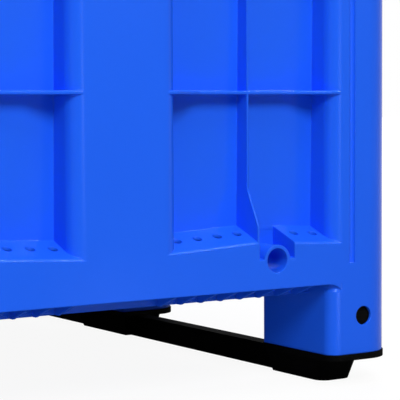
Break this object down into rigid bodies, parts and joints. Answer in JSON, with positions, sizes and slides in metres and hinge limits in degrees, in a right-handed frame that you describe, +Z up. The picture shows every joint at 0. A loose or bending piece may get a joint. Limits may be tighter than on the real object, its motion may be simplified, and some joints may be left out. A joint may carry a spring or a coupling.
{
  "type": "bulk container",
  "caption": "Deep rectangular plastic pallet box with ribbed wall pockets, hollow feet, clip-on ground runners held by spring catches, a stacking rim and a drain spout.",
  "frame": {"origin": "on the ground, under the middle of the box", "axes": "+Z up, +Y along the box away from the wall with the drain, +X across it, to the right when looking at that wall"},
  "size_m": [0.8, 1.2, 0.79],
  "materials": {
    "tub_blue": "satin moulded polyethylene",
    "runner_black": "satin moulded polyethylene"
  },
  "bodies": {
    "box": {"tub": "tub_blue", "runner_left": "runner_black", "runner_right": "runner_black"},
    "end_catch_front_left": {"end_catch_front_left": "runner_black"},
    "end_catch_rear_left": {"end_catch_rear_left": "runner_black"},
    "side_catch_front_left": {"side_catch_front_left": "runner_black"},
    "side_catch_middle_left": {"side_catch_middle_left": "runner_black"},
    "side_catch_rear_left": {"side_catch_rear_left": "runner_black"},
    "end_catch_front_right": {"end_catch_front_right": "runner_black"},
    "end_catch_rear_right": {"end_catch_rear_right": "runner_black"},
    "side_catch_front_right": {"side_catch_front_right": "runner_black"},
    "side_catch_middle_right": {"side_catch_middle_right": "runner_black"},
    "side_catch_rear_right": {"side_catch_rear_right": "runner_black"}
  },
  "joints": [
    {"name": "end_catch_front_left_press", "type": "hinge", "parent": "box", "child": "end_catch_front_left", "pos_m": [-0.347, -0.5911, 0.05], "axis": [-1, 0, 0], "range_deg": [0, 10], "stiffness_Nm_per_rad": 5},
    {"name": "end_catch_rear_left_press", "type": "hinge", "parent": "box", "child": "end_catch_rear_left", "pos_m": [-0.347, 0.5911, 0.05], "axis": [1, 0, 0], "range_deg": [0, 10], "stiffness_Nm_per_rad": 5},
    {"name": "side_catch_front_left_press", "type": "hinge", "parent": "box", "child": "side_catch_front_left", "pos_m": [-0.3911, -0.525, 0.05], "axis": [0, 1, 0], "range_deg": [0, 10], "stiffness_Nm_per_rad": 5},
    {"name": "side_catch_middle_left_press", "type": "hinge", "parent": "box", "child": "side_catch_middle_left", "pos_m": [-0.3911, 0, 0.05], "axis": [0, 1, 0], "range_deg": [0, 10], "stiffness_Nm_per_rad": 5},
    {"name": "side_catch_rear_left_press", "type": "hinge", "parent": "box", "child": "side_catch_rear_left", "pos_m": [-0.3911, 0.525, 0.05], "axis": [0, 1, 0], "range_deg": [0, 10], "stiffness_Nm_per_rad": 5},
    {"name": "end_catch_front_right_press", "type": "hinge", "parent": "box", "child": "end_catch_front_right", "pos_m": [0.347, -0.5911, 0.05], "axis": [-1, 0, 0], "range_deg": [0, 10], "stiffness_Nm_per_rad": 5},
    {"name": "end_catch_rear_right_press", "type": "hinge", "parent": "box", "child": "end_catch_rear_right", "pos_m": [0.347, 0.5911, 0.05], "axis": [1, 0, 0], "range_deg": [0, 10], "stiffness_Nm_per_rad": 5},
    {"name": "side_catch_front_right_press", "type": "hinge", "parent": "box", "child": "side_catch_front_right", "pos_m": [0.3911, -0.525, 0.05], "axis": [0, -1, 0], "range_deg": [0, 10], "stiffness_Nm_per_rad": 5},
    {"name": "side_catch_middle_right_press", "type": "hinge", "parent": "box", "child": "side_catch_middle_right", "pos_m": [0.3911, 0, 0.05], "axis": [0, -1, 0], "range_deg": [0, 10], "stiffness_Nm_per_rad": 5},
    {"name": "side_catch_rear_right_press", "type": "hinge", "parent": "box", "child": "side_catch_rear_right", "pos_m": [0.3911, 0.525, 0.05], "axis": [0, -1, 0], "range_deg": [0, 10], "stiffness_Nm_per_rad": 5}
  ]
}
